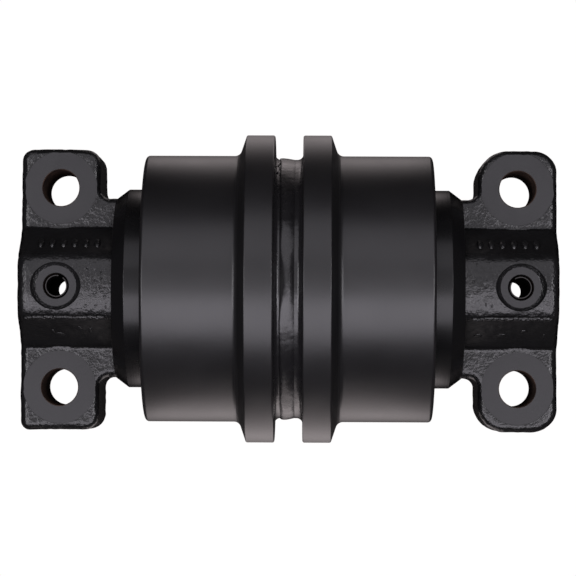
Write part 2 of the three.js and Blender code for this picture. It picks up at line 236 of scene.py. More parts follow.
def make_floor():
    """A pale floor with a painted shadow under the roller, and a painted glow in a strip before and
    behind the tread.
    """
    bpy.ops.mesh.primitive_circle_add(vertices=96, radius=12, fill_type="NGON")
    floor = bpy.context.object
    floor.name = "studio_floor"
    floor.location.z = CAD_BOX[0].z - 0.001
    made = bpy.data.materials.new("studio_floor")
    made.use_nodes = True
    nodes, links = made.node_tree.nodes, made.node_tree.links
    nodes.clear()
    place = nodes.new("ShaderNodeTexCoord")
    strip = nodes.new("ShaderNodeMapping")
    strip.inputs["Scale"].default_value = (0.5, 0.5, 0.5)
    strip.inputs["Location"].default_value = (0.5, 0.5, 0.5)
    split = nodes.new("ShaderNodeSeparateXYZ")
    # A ramp's positions from 0 to 1 run from 1 m behind the roller to 1 m in front, or across it.
    # The glow that the object reflects is painted light: bright strips before and behind the tread, with
    # a painted shadow, nearly black, right under the roller.
    along = nodes.new("ShaderNodeValToRGB")
    behind = ((0.0, 0.08), (0.25, 0.1), (0.34, 0.6), (0.4, 1.2), (0.44, 0.03))
    in_front = ((0.56, 0.03), (0.6, 1.7), (0.675, 1.5), (0.8, 1.2), (1.0, 0.85))
    set_ramp(along, behind + in_front, (1, 0.9, 0.91))
    across = nodes.new("ShaderNodeValToRGB")
    set_ramp(across, ((0.438, 0.05), (0.446, 1.0), (0.554, 1.0), (0.562, 0.05)))
    lit = nodes.new("ShaderNodeMix")
    lit.data_type = "RGBA"
    lit.blend_type = "MULTIPLY"
    lit.inputs["Factor"].default_value = 1
    footprint = nodes.new("ShaderNodeMapping")
    footprint.inputs["Scale"].default_value = (COLLAR_END / FLANGE_RADIUS, 1, 1)
    distance = nodes.new("ShaderNodeVectorMath")
    distance.operation = "LENGTH"
    # A painted shadow under the roller for the camera, darkest in the middle of the footprint.
    shade = nodes.new("ShaderNodeValToRGB")
    set_ramp(shade, ((0.0, 0.5), (0.06, 0.66), (0.11, 0.93), (0.14, 1.0)), (1, 0.985, 0.985))
    glow = nodes.new("ShaderNodeEmission")
    white_and_painted_shadow = nodes.new("ShaderNodeEmission")
    white_and_painted_shadow.inputs["Strength"].default_value = 1.02
    rays = nodes.new("ShaderNodeLightPath")
    out = nodes.new("ShaderNodeOutputMaterial")
    links.new(place.outputs["Object"], strip.inputs[0])
    links.new(strip.outputs[0], split.inputs[0])
    links.new(split.outputs["X"], along.inputs[0])
    links.new(split.outputs["Y"], across.inputs[0])
    links.new(along.outputs[0], lit.inputs["A"])
    links.new(across.outputs[0], lit.inputs["B"])
    links.new(place.outputs["Object"], footprint.inputs[0])
    links.new(footprint.outputs[0], distance.inputs[0])
    links.new(distance.outputs["Value"], shade.inputs[0])
    links.new(lit.outputs["Result"], glow.inputs["Color"])
    links.new(shade.outputs[0], white_and_painted_shadow.inputs["Color"])
    seen = blend(nodes, links, rays.outputs["Is Camera Ray"], glow, white_and_painted_shadow)
    links.new(seen.outputs[0], out.inputs["Surface"])
    floor.data.materials.append(made)


def make_world():
    """White to the camera; to the object, bright overhead and dim towards the horizon."""
    world = bpy.data.worlds.new("studio")
    bpy.context.scene.world = world
    world.use_nodes = True
    nodes, links = world.node_tree.nodes, world.node_tree.links
    nodes.clear()
    direction = nodes.new("ShaderNodeTexCoord")
    split = nodes.new("ShaderNodeSeparateXYZ")
    ramp = nodes.new("ShaderNodeValToRGB")
    levels = ((0.0, 0.07), (0.3, 0.04), (0.72, 0.16), (0.93, 0.45), (0.985, 0.95))
    set_ramp(ramp, levels, (1, 0.97, 1.04))
    studio = nodes.new("ShaderNodeBackground")
    backdrop = nodes.new("ShaderNodeBackground")
    backdrop.inputs["Color"].default_value = (1, 1, 1, 1)
    backdrop.inputs["Strength"].default_value = 1.02
    rays = nodes.new("ShaderNodeLightPath")
    out = nodes.new("ShaderNodeOutputWorld")
    links.new(direction.outputs["Generated"], split.inputs[0])
    links.new(split.outputs["Z"], ramp.inputs[0])
    links.new(ramp.outputs[0], studio.inputs["Color"])
    seen = blend(nodes, links, rays.outputs["Is Camera Ray"], studio, backdrop)
    links.new(seen.outputs[0], out.inputs["Surface"])


def make_studio():
    """Camera, floor, surroundings and lights."""
    bpy.context.scene.view_settings.view_transform = "Standard"
    make_camera()
    make_floor()
    make_world()
    soft_box("soft_box_front", 0, 25, 2.2, (1.3, 3.0), 39, (0.95, 0.91, 1.0))
    soft_box("soft_box_rear", 180, 38, 2.2, (1.3, 3.0), 12.3, (0.95, 0.92, 1.0))
    soft_box("card_front", 0, 89, 1.2, (0.3, 0.24), 0.14, (1, 0.95, 0.95))
    for name, heading in (("soft_box_left", -90), ("soft_box_right", 90)):
        soft_box(name, heading, 33, 2.2, (0.4, 1.4), 12, (0.97, 0.95, 1.0))


# ---------------------------------------------------------------- materials


def material(name, color, roughness, metallic=0.0, specular=0.5):
    """A material with a Principled shader."""
    made = bpy.data.materials.new(name)
    made.use_nodes = True
    shader = made.node_tree.nodes["Principled BSDF"]
    shader.inputs["Base Color"].default_value = (*color, 1)
    shader.inputs["Roughness"].default_value = roughness
    shader.inputs["Metallic"].default_value = metallic
    shader.inputs["Specular IOR Level"].default_value = specular
    return made


def pattern(made, scale, stretch=(1, 1, 1), detail=3, seed=0.0):
    """A noise texture in object space, scale cells to the metre, squeezed along each axis."""
    nodes, links = made.node_tree.nodes, made.node_tree.links
    place = nodes.new("ShaderNodeTexCoord")
    mapping = nodes.new("ShaderNodeMapping")
    mapping.inputs["Scale"].default_value = stretch
    mapping.inputs["Location"].default_value = (seed, seed * 0.7, seed * 0.3)
    texture = nodes.new("ShaderNodeTexNoise")
    texture.inputs["Scale"].default_value = scale
    texture.inputs["Detail"].default_value = detail
    links.new(place.outputs["Object"], mapping.inputs[0])
    links.new(mapping.outputs[0], texture.inputs["Vector"])
    return texture.outputs["Fac"]


def spread(made, source, low, high):
    """The texture's middle range spread over low to high."""
    node = made.node_tree.nodes.new("ShaderNodeMapRange")
    node.inputs["From Min"].default_value = 0.3
    node.inputs["From Max"].default_value = 0.7
    node.inputs["To Min"].default_value = low
    node.inputs["To Max"].default_value = high
    made.node_tree.links.new(source, node.inputs["Value"])
    return node.outputs["Result"]


def vary_roughness(made, source, low, high):
    """Spreads the roughness between two values."""
    shader = made.node_tree.nodes["Principled BSDF"]
    made.node_tree.links.new(spread(made, source, low, high), shader.inputs["Roughness"])


def vary_color(made, source, dark, light):
    """Fades the base colour between two colours."""
    nodes, links = made.node_tree.nodes, made.node_tree.links
    mix = nodes.new("ShaderNodeMix")
    mix.data_type = "RGBA"
    mix.inputs["A"].default_value = (*dark, 1)
    mix.inputs["B"].default_value = (*light, 1)
    links.new(spread(made, source, 0, 1), mix.inputs["Factor"])
    links.new(mix.outputs["Result"], nodes["Principled BSDF"].inputs["Base Color"])


def add_bump(made, source, height):
    """Raises the surface by the texture, up to that many millimetres, over any earlier bump."""
    nodes, links = made.node_tree.nodes, made.node_tree.links
    shader = nodes["Principled BSDF"]
    bump = nodes.new("ShaderNodeBump")
    bump.inputs["Distance"].default_value = height * MM
    links.new(source, bump.inputs["Height"])
    earlier = shader.inputs["Normal"].links
    if earlier:
        links.new(earlier[0].from_socket, bump.inputs["Normal"])
    links.new(bump.outputs[0], shader.inputs["Normal"])


RINGS = (0.02, 1, 0.02)  # squeezes a pattern into rings about the shaft
UPRIGHT_RINGS = (0.02, 0.02, 1)  # the same about an upright hole


def turned_paint():
    """Satin black over a fine turned finish."""
    made = material("satin_black_over_turning", (0.0065, 0.0062, 0.0067), 0.34)
    vary_roughness(made, pattern(made, 28, detail=4), 0.31, 0.37)
    clouds = pattern(made, 14, detail=5, seed=3)
    vary_color(made, clouds, (0.0055, 0.0052, 0.0056), (0.0076, 0.0072, 0.0078))
    add_bump(made, pattern(made, 900, RINGS, 2), 0.02)
    add_bump(made, pattern(made, 160, RINGS, 2, seed=5), 0.03)
    add_bump(made, pattern(made, 320, detail=3, seed=9), 0.03)
    return made


def cast_paint():
    """Gloss black that has run into the pits of a rough casting."""
    made = material("gloss_black_over_casting", (0.005, 0.005, 0.0052), 0.26, specular=0.44)
    vary_roughness(made, pattern(made, 120, detail=4), 0.15, 0.27)
    clouds = pattern(made, 45, detail=5, seed=2)
    vary_color(made, clouds, (0.004, 0.004, 0.0041), (0.007, 0.0068, 0.0072))
    add_bump(made, pattern(made, 360, detail=3), 0.4)
    add_bump(made, pattern(made, 700, detail=2, seed=4), 0.3)
    return made


def shaded_slope_paint():
    """Duller black with finer grain on the sloping sides of the barrels, darker and less glossy than the
    casting: painted shade.
    """
    made = material("dull_black_with_painted_shade_over_casting", (0.0046, 0.0045, 0.0047), 0.45, specular=0.28)
    vary_roughness(made, pattern(made, 60, detail=4), 0.36, 0.5)
    add_bump(made, pattern(made, 300, detail=3), 0.15)
    return made


def seat_paint():
    """Thin satin black over a machined seat."""
    made = material("satin_black_over_machining", (0.015, 0.0146, 0.0156), 0.4, specular=0.37)
    vary_roughness(made, pattern(made, 90, detail=4), 0.36, 0.46)
    add_bump(made, pattern(made, 700, detail=3), 0.03)
    return made


def shaded_flank_paint():
    """Dull black on the flanges' sides, darker and less glossy than the tread: painted shade."""
    made = material("dull_black_with_painted_shade_on_flanks", (0.0055, 0.0053, 0.0057), 0.55, specular=0.25)
    vary_roughness(made, pattern(made, 60, detail=4), 0.5, 0.6)
    add_bump(made, pattern(made, 500, detail=2), 0.03)
    return made


def shaded_neck_paint():
    """Smooth gloss black on the turned hubs, darker and less reflective than the rest: painted shade in
    the necks.
    """
    made = material("gloss_black_with_painted_shade_over_turning", (0.0036, 0.0035, 0.0038), 0.26, specular=0.32)
    vary_roughness(made, pattern(made, 40, detail=4), 0.24, 0.3)
    add_bump(made, pattern(made, 900, RINGS, 2), 0.02)
    return made


def groove_paint():
    """Thick gloss black over a weld."""
    made = material("gloss_black_over_weld", (0.0105, 0.0100, 0.0108), 0.22)
    vary_roughness(made, pattern(made, 150, detail=3), 0.16, 0.32)
    add_bump(made, pattern(made, 150, detail=4), 0.3)
    return made


def bore_oxide():
    """Drilled steel that the paint has barely reached, browned by rust."""
    made = material("browned_bore", (0.03, 0.02, 0.016), 0.45, metallic=0.3)
    vary_color(made, pattern(made, 90, detail=5), (0.014, 0.010, 0.009), (0.075, 0.046, 0.033))
    add_bump(made, pattern(made, 700, UPRIGHT_RINGS, 2), 0.12)
    return made


def bare_steel(name, color, roughness, rings):
    """Ground or turned steel."""
    made = material(name, color, roughness, metallic=1.0)
    vary_roughness(made, pattern(made, 60, detail=4), roughness - 0.05, roughness + 0.09)
    add_bump(made, pattern(made, 1500, rings, 2), 0.012)
    return made


def soft_rubber():
    """Matt black rubber."""
    made = material("matt_rubber", (0.012, 0.012, 0.012), 0.62)
    vary_roughness(made, pattern(made, 200, detail=3), 0.55, 0.72)
    add_bump(made, pattern(made, 1500, detail=2), 0.02)
    return made


# ---------------------------------------------------------------- mesh helpers


def arc(centre_radius, centre_y, radius, start, end, steps=10):
    """Points of an arc in a turned profile: 0 degrees points away from the shaft, 90 along it."""
    angles = np.radians(np.linspace(start, end, steps + 1))
    return [(centre_radius + radius * math.cos(a), centre_y + radius * math.sin(a)) for a in angles]


def turned(profile, facets=192):
    """A body turned about Y from (radius, y) points.

    The outline closes on itself, unless it starts and ends on the axis.
    """
    verts, rings = [], []
    for radius, y in profile:
        first = len(verts)
        if radius == 0:
            verts.append((0, y, 0))
            rings.append([first] * facets)
        else:
            angles = [2 * math.pi * i / facets for i in range(facets)]
            verts.extend((radius * math.sin(a), y, radius * math.cos(a)) for a in angles)
            rings.append(list(range(first, first + facets)))
    following = rings[1:] if profile[0][0] == 0 else rings[1:] + rings[:1]
    faces = []
    for near, far in zip(rings, following):
        for i in range(facets):
            j = (i + 1) % facets
            faces.append(list(dict.fromkeys((near[i], far[i], far[j], near[j]))))
    return np.array(verts, float), faces


def upright(profile, x, y, facets=96):
    """A body turned about an upright axis at (x, y) from (radius, z) points."""
    verts, faces = turned(profile, facets)
    return np.column_stack((verts[:, 0] + x, y - verts[:, 2], verts[:, 1])), faces


def block(low, high):
    """A box between two opposite corners."""
    corners = list(product(*zip(low, high)))
    faces = [[0, 1, 3, 2], [4, 6, 7, 5], [0, 4, 5, 1], [2, 3, 7, 6], [0, 2, 6, 4], [1, 5, 7, 3]]
    return np.array(corners, float), faces


def lofted(loops):
    """A closed body through stacked loops with the same number of points each."""
    count = len(loops[0])
    verts = np.concatenate([np.array(loop, float) for loop in loops])
    faces = [list(range(count)), list(range(len(verts) - count, len(verts)))]
    for level in range(len(loops) - 1):
        for i in range(count):
            j = (i + 1) % count
            low, high = level * count, (level + 1) * count
            faces.append([low + i, low + j, high + j, high + i])
    return verts, faces


def blob(centre, axes, sizes, facets=20):
    """An ellipsoid with its three half sizes along three axes."""
    half = facets // 2
    angles = [math.pi * i / half for i in range(1, half)]
    profile = [(0, -1), *[(math.sin(a), -math.cos(a)) for a in angles], (0, 1)]
    verts, faces = turned(profile, facets)
    return np.array(centre) + (verts * np.array(sizes)) @ np.array(axes, float), faces


def merged(shapes):
    """Several shapes as one."""
    verts, faces, first = [], [], 0
    for points, polygons in shapes:
        verts.append(points)
        faces.extend([first + i for i in polygon] for polygon in polygons)
        first += len(points)
    return np.concatenate(verts), faces


def mirrored(shape, side):
    """The shape for the right end (1), or its mirror image for the left end (-1)."""
    return shape[0] * (1, side, 1), shape[1]


def solid_object(name, shape, materials=()):
    """An object from a shape in millimetres, its faces pointing outwards."""
    verts, faces = shape
    mesh = bpy.data.meshes.new(name)
    mesh.from_pydata((verts * MM).tolist(), [], [list(map(int, face)) for face in faces])
    made = bmesh.new()
    made.from_mesh(mesh)
    bmesh.ops.recalc_face_normals(made, faces=made.faces)
    made.to_mesh(mesh)
    made.free()
    for entry in materials:
        mesh.materials.append(entry)
    thing = bpy.data.objects.new(name, mesh)
    bpy.context.scene.collection.objects.link(thing)
    return thing


def carve(piece, tools, operation="DIFFERENCE"):
    """Cuts the tools out of the piece, or joins them to it, and leaves a plain mesh."""
    box = bpy.data.collections.new("tools")
    for tool in tools:
        box.objects.link(tool)
    modifier = piece.modifiers.new("carve", "BOOLEAN")
    modifier.solver = "MANIFOLD"
    modifier.operation = operation
    modifier.operand_type = "COLLECTION"
    modifier.collection = box
    depsgraph = bpy.context.evaluated_depsgraph_get()
    mesh = bpy.data.meshes.new_from_object(piece.evaluated_get(depsgraph))
    piece.modifiers.clear()
    piece.data = mesh
    bpy.data.collections.remove(box)
    for tool in tools:
        bpy.data.objects.remove(tool)


def paint_faces(piece, materials, rules):
    """Gives each face the first material, or the material of the last rule that holds for it.

    A rule takes face centres in millimetres and normals, and says which faces it holds for.
    """
    mesh = piece.data
    mesh.materials.clear()
    for entry in materials:
        mesh.materials.append(entry)
    count = len(mesh.polygons)
    centres, normals = np.zeros(count * 3), np.zeros(count * 3)
    mesh.polygons.foreach_get("center", centres)
    mesh.polygons.foreach_get("normal", normals)
    centres, normals = centres.reshape(-1, 3) / MM, normals.reshape(-1, 3)
    chosen = np.zeros(count, np.int32)
    for number, rule in enumerate(rules, 1):
        chosen[rule(centres, normals)] = number
    mesh.polygons.foreach_set("material_index", chosen)


def finish(piece, body, node, crease=32, flat=None):
    """Smooths the shading up to a crease angle, and hands the piece to the frame.

    Faces with the material at index flat are level seats, and stay unsmoothed.
    """
    mesh = piece.data
    mesh.set_sharp_from_angle(angle=math.radians(crease))
    mesh.polygons.foreach_set("use_smooth", [face.material_index != flat for face in mesh.polygons])
    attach(piece, body)
    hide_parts(node)


# ---------------------------------------------------------------- the turned shell


def shell_profile():
    """Bush bore, seal housing, end recess, tread, flank, flange rim and weld groove."""
    edge = RIM_EDGE_RADIUS
    flank_edge = RIM_OUTER_EDGE - edge * math.tan(math.radians(45 - FLANK_LEAN / 2))
    housing = SEAL_PLANE - GAP / 2 - HOUSING_DEPTH
    recess = HUB_RIM - END_RECESS_GAP
    mouth = HUB_RADIUS + HUB_CLEARANCE
    chamfer = 0.8
    return [
        (OIL_RADIUS, GAP / 2),
        (OIL_RADIUS, OIL_HALF_WIDTH),
        (BUSH_OUTER_RADIUS + GAP, BUSH_SEAT_START),
        (BUSH_OUTER_RADIUS + GAP, BUSH_FLANGE_INNER - GAP),
        (BUSH_FLANGE_RADIUS + GAP, BUSH_FLANGE_INNER - GAP),
        (BUSH_FLANGE_RADIUS + GAP, housing),
        (HOUSING_ROOT_RADIUS, housing),
        (HOUSING_MOUTH_RADIUS, HUB_RIM - 4),
        (HOUSING_MOUTH_RADIUS, recess),
        (mouth, recess),
        (mouth, SHELL_HALF_WIDTH - chamfer),
        (mouth + chamfer, SHELL_HALF_WIDTH),
        *arc(TREAD_RADIUS - SHELL_CORNER, SHELL_HALF_WIDTH - SHELL_CORNER, SHELL_CORNER, 90, 0),
        *arc(TREAD_RADIUS + FLANK_FILLET, FLANK_FOOT, FLANK_FILLET, 180, 270 - FLANK_LEAN, 12),
        *arc(FLANGE_RADIUS - edge, flank_edge, edge, 90 - FLANK_LEAN, 0, 6),
        *arc(FLANGE_RADIUS - edge, GROOVE_HALF_WIDTH + edge, edge, 0, -90, 6),
        *arc(GROOVE_RADIUS + GROOVE_FILLET, GROOVE_HALF_WIDTH - GROOVE_FILLET, GROOVE_FILLET, 90, 180, 8),
        (GROOVE_RADIUS, WELD_HALF_WIDTH),
        (WELD_ROOT_RADIUS, GAP / 2),
    ]


def make_shell(paints):
    """Both halves: satin outside, dull with painted shade on the flanks, gloss in the groove, and bare in
    the bores.
    """
    shape = turned(shell_profile(), 256)

    def in_groove(centres, normals):
        radii = np.hypot(centres[:, 0], centres[:, 2])
        return (np.abs(centres[:, 1]) < GROOVE_HALF_WIDTH + 0.02) & (radii > WELD_ROOT_RADIUS)

    def inside(centres, normals):
        radii = np.hypot(centres[:, 0], centres[:, 2])
        return (radii < HOUSING_MOUTH_RADIUS + 0.5) & (np.abs(centres[:, 1]) < HUB_RIM)

    def flank(centres, normals):
        radii = np.hypot(centres[:, 0], centres[:, 2])
        sides = (np.abs(normals[:, 1]) > 0.5) & (np.abs(centres[:, 1]) > RIM_OUTER_EDGE - 1)
        return sides & (np.abs(centres[:, 1]) < FLANK_FOOT) & (radii > TREAD_RADIUS)

    chosen = (paints["turned"], paints["groove"], paints["bare"], paints["flank"])
    for name, side in SIDES.items():
        piece = solid_object(f"shell_{name}", mirrored(shape, side))
        paint_faces(piece, chosen, (in_groove, inside, flank))
        finish(piece, TURNING, f"shell_half_{name}")


def make_weld(paints):
    """The weld between the halves: overlapping ripples, thick and thin by turns."""
    half = WELD_HALF_WIDTH + 0.7
    crown_height = 1.2
    ripple_pitch = 4.6
    ripple_step = 0.05
    unevenness = 0.6
    edge_radius = GROOVE_RADIUS - 0.1
    across = np.linspace(half, -half, 17)
    crown = [(edge_radius + crown_height * (1 - (y / half) ** 2), y) for y in across]
    verts, faces = turned([(WELD_ROOT_RADIUS + 1.4, 0), *crown], 720)
    for vert in verts:
        radius = math.hypot(vert[0], vert[2])
        if radius < GROOVE_RADIUS - 1:
            continue
        along = math.atan2(vert[0], vert[2]) * GROOVE_RADIUS
        bow = 0.1 * vert[1] ** 2
        phase = (along + bow + 2 * noise.noise(Vector(vert) * 0.11)) / ripple_pitch
        middle = 1 - (vert[1] / half) ** 2
        lumps = noise.noise(Vector(vert) * 0.06 + Vector((7, 0, 0)))
        rise = middle * (ripple_step * (phase % 1) + unevenness * lumps)
        vert[[0, 2]] *= (radius + rise) / radius
        wander = 4 * noise.noise(Vector((vert[0] * 0.03, 3, vert[2] * 0.03)))
        vert[1] += middle * (wander - 1.7) - 0.8
    piece = solid_object("weld_ripples", (verts, faces), [paints["groove"]])
    finish(piece, TURNING, "shell_weld_seam", crease=60)


def make_spatter(paints):
    """Grains of weld spatter left at one place in the groove."""
    draw = np.random.default_rng(11)
    grain_count = 22
    grains = []
    for _ in range(grain_count):
        angle = math.radians(draw.uniform(-76, -52))
        y = draw.uniform(-7.4, -3.6)
        radius = GROOVE_RADIUS + 0.2 + max(0, -y - 5.5) * 0.5
        size = draw.uniform(0.3, 0.85)
        centre = (radius * math.sin(angle), y, radius * math.cos(angle))
        axes = np.linalg.qr(draw.normal(size=(3, 3)))[0]
        grains.append(blob(centre, axes, size * draw.uniform(0.6, 1.2, 3), 10))
    piece = solid_object("weld_spatter", merged(grains), [paints["groove"]])
    piece.data.polygons.foreach_set("use_smooth", [True] * len(piece.data.polygons))
    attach(piece, TURNING)


# ---------------------------------------------------------------- the cast collars

CELL = 1.0  # spacing of the grid that the castings' skin is drawn from


def round_edge(a, b, radius):
    """What two distance fields hold in common, with the edge between them rounded."""
    outside = np.hypot(np.maximum(a + radius, 0), np.maximum(b + radius, 0))
    return np.minimum(np.maximum(a, b) + radius, 0) + outside - radius


def fillet(a, b, radius):
    """Two distance fields joined, with the corner between them filled to a radius."""
    inside = np.hypot(np.maximum(radius - a, 0), np.maximum(radius - b, 0))
    return np.maximum(np.minimum(a, b), radius) - inside


def rough(shape, cell, draw):
    """Smooth random values from -1 to 1 over a grid, one value to each cell of that many steps."""
    coarse = draw.uniform(-1, 1, [int(n / cell) + 3 for n in shape])
    for axis, count in enumerate(shape):
        at = np.arange(count) / cell
        low = at.astype(int)
        ease = at - low
        ease = ease * ease * (3 - 2 * ease)
        ease = ease.reshape([-1 if a == axis else 1 for a in range(3)])
        coarse = np.take(coarse, low, axis) * (1 - ease) + np.take(coarse, low + 1, axis) * ease
    return coarse


def skin(field, origin, cell):
    """The surface where a distance field is zero: one vertex in each grid cell that it crosses."""
    inside = field < 0
    size = np.array(field.shape) - 1
    steps = [np.array(s) for s in np.ndindex(2, 2, 2)]

    def corner(values, step):
        return values[tuple(slice(s, s + n) for s, n in zip(step, size))]

    count = sum(corner(inside, step).astype(np.int8) for step in steps)
    crossed = (count > 0) & (count < 8)
    cells = np.argwhere(crossed)
    number = np.full(crossed.shape, -1)
    number[crossed] = np.arange(len(cells))
    total, hits = np.zeros((len(cells), 3)), np.zeros(len(cells))
    for start in steps:
        for axis in range(3):
            if start[axis]:
                continue
            near = field[tuple((cells + start).T)]
            end = start + np.eye(3, dtype=int)[axis]
            far = field[tuple((cells + end).T)]
            hit = (near < 0) != (far < 0)
            share = near[hit] / (near[hit] - far[hit])
            total[hit] += start + share[:, None] * (end - start)
            hits[hit] += 1
    verts = origin + cell * (cells + total / hits[:, None])
    faces = []
    for axis in range(3):
        u, v = np.eye(3, dtype=int)[(axis + 1) % 3], np.eye(3, dtype=int)[(axis + 2) % 3]
        low = np.take(inside, range(size[axis]), axis)
        high = np.take(inside, range(1, size[axis] + 1), axis)
        for found, order in ((low & ~high, 1), (~low & high, -1)):
            at = np.argwhere(found)
            ring = [number[tuple((at - shift).T)] for shift in (0 * u, u, u + v, v)]
            faces.extend(np.column_stack(ring[::order]).tolist())
    return verts, faces


def barrel_height(x):
    """Height of the barrel's crown, or beyond it of its sloping flank."""
    edge = min(abs(x), CROWN_REACH)
    crown = CROWN_TOP - CROWN_RADIUS + math.sqrt(CROWN_RADIUS**2 - edge**2)
    return crown - (crown - EAR_Z) * (abs(x) - edge) / (BARREL_REACH - CROWN_REACH)


def barrel_slope():
    """How steeply the barrel's flanks fall, as an angle."""
    return math.atan2(barrel_height(CROWN_REACH) - EAR_Z, BARREL_REACH - CROWN_REACH)


def collar_field(x, y, z, front_reach, corners):
    """Distance to the collar's ears, web and barrel as cast, for the right end."""
    middle = (EAR_INNER + COLLAR_END) / 2
    outer = np.where(x < 0, corners["rear_outer"], corners["front_outer"])
    inner = np.where(x < 0, corners["rear_inner"], corners["front_inner"])
    corner = np.where(y > middle, outer, inner)
    across = np.abs(x - (front_reach - REAR_REACH) / 2) - (front_reach + REAR_REACH) / 2 + corner
    along = np.abs(y - middle) - (COLLAR_END - EAR_INNER) / 2 + corner
    ears = np.minimum(np.maximum(across, along), 0) - corner
    ears = ears + np.hypot(np.maximum(across, 0), np.maximum(along, 0))
    web = np.maximum(np.abs(x) - WEB_REACH, np.abs(y - EAR_INNER) - EAR_INNER + WEB_INNER)
    plan = fillet(ears, web, WEB_FILLET)
    half_depth = (EAR_Z - MOUNT_Z) / 2 + 2
    plate = round_edge(plan, np.abs(z - EAR_Z + half_depth) - half_depth, CAST_EDGE)

    out = np.abs(x) - BARREL_REACH
    flank = out * math.sin(barrel_slope()) + (z - EAR_Z) * math.cos(barrel_slope())
    crown = np.hypot(x, z - CROWN_TOP + CROWN_RADIUS) - CROWN_RADIUS
    barrel = round_edge(flank, np.where(z > EAR_Z, crown, -CROWN_RADIUS), CREASE_EDGE)
    barrel = round_edge(barrel, out, CREASE_EDGE)
    lean = BARREL_DRAFT * np.maximum(z - EAR_Z, 0)
    barrel = round_edge(barrel, y + lean - COLLAR_END, CAST_EDGE + 1)
    barrel = np.maximum(barrel, np.maximum(BARREL_INNER - y, MOUNT_Z - 2 - z))
    from_bolt = np.hypot(np.abs(x) - BOLT_X, y - BOLT_Y)
    scallop = np.minimum(SCALLOP_RADIUS - from_bolt, z - EAR_Z + 3)
    barrel = round_edge(barrel, scallop, SCALLOP_EDGE)
    return fillet(barrel, plate, BARREL_FILLET)


def hub_shape():
    """The round hub, turned smooth: a short cylinder and its taper back to the web."""
    taper = math.radians(HUB_TAPER)
    edge = 1.0
    back_edge = 1.2
    inner_radius = BORE_RADIUS - 8
    inner_end = HUB_RIM - 12
    shoulder = HUB_SHOULDER - edge * math.tan(taper / 2)
    drop = back_edge + (HUB_BACK - back_edge - HUB_SHOULDER) * math.sin(taper)
    back_radius = HUB_RADIUS - drop / math.cos(taper)
    return turned(
        [
            (inner_radius, inner_end),
            (HUB_RADIUS, inner_end),
            *arc(HUB_RADIUS - edge, shoulder, edge, 0, HUB_TAPER, 4),
            *arc(back_radius, HUB_BACK - back_edge, back_edge, HUB_TAPER, 90, 6),
            (inner_radius, HUB_BACK),
        ],
        256,
    )


def collar_casting(name, seed):
    """The collar's cast skin, with the waves of a sand casting."""
    front_reach = reach(f"collar_{name}", "x")
    low = np.array((-REAR_REACH - 4, BARREL_INNER - 4, MOUNT_Z - 10))
    high = np.array((front_reach + 4, COLLAR_END + 4, CROWN_TOP + 4))
    x, y, z = (np.arange(a, b, CELL) for a, b in zip(low, high))
    x, y, z = x[:, None, None], y[None, :, None], z[None, None, :]
    field = collar_field(x, y, z, front_reach, EAR_CORNERS[name])
    draw = np.random.default_rng(seed)
    waves = 0.3 * rough(field.shape, 12 / CELL, draw) + 0.2 * rough(field.shape, 3 / CELL, draw)
    return skin(field + waves, low, CELL)


def cast_marks(seed):
    """Plain raised marks on the barrel: a row of pips, a flash line, lumps and stray grains."""
    draw = np.random.default_rng(seed)
    pip_x = -28.5
    first_pip = 127
    pip_pitch = 7.5
    pip_count = 6
    pip_sizes = (5.2, 2.4, 2.5)
    flash_x = 20.6
    flash_start = 123
    flash_end = 173
    flash_pitch = 1.6
    lump_count = 4
    grain_count = 16

    def on_barrel(x, y, sizes, facets=20):
        lean = math.atan(barrel_height(x - 0.5) - barrel_height(x + 0.5))
        out = (math.sin(lean), 0, math.cos(lean))
        aside = (math.cos(lean), 0, -math.sin(lean))
        return blob((x, y, barrel_height(x)), (aside, (0, 1, 0), out), sizes, facets)

    marks = [on_barrel(pip_x, first_pip + pip_pitch * i, pip_sizes) for i in range(pip_count)]
    for y in np.arange(flash_start, flash_end, flash_pitch):
        sizes = (draw.uniform(1.0, 1.5), 2.3, draw.uniform(1.1, 1.6))
        marks.append(on_barrel(flash_x + draw.uniform(-0.3, 0.5), y, sizes))
    for _ in range(lump_count):
        sizes = (draw.uniform(1.5, 3.4), draw.uniform(1.5, 4), draw.uniform(0.5, 0.9))
        marks.append(on_barrel(draw.uniform(24, 34), draw.uniform(126, 170), sizes))
    for _ in range(grain_count):
        sizes = draw.uniform(0.5, 1.2, 3) * (1, 1, 0.6)
        marks.append(on_barrel(draw.uniform(-17, 17), draw.uniform(120, 135), sizes, 12))
    return marks


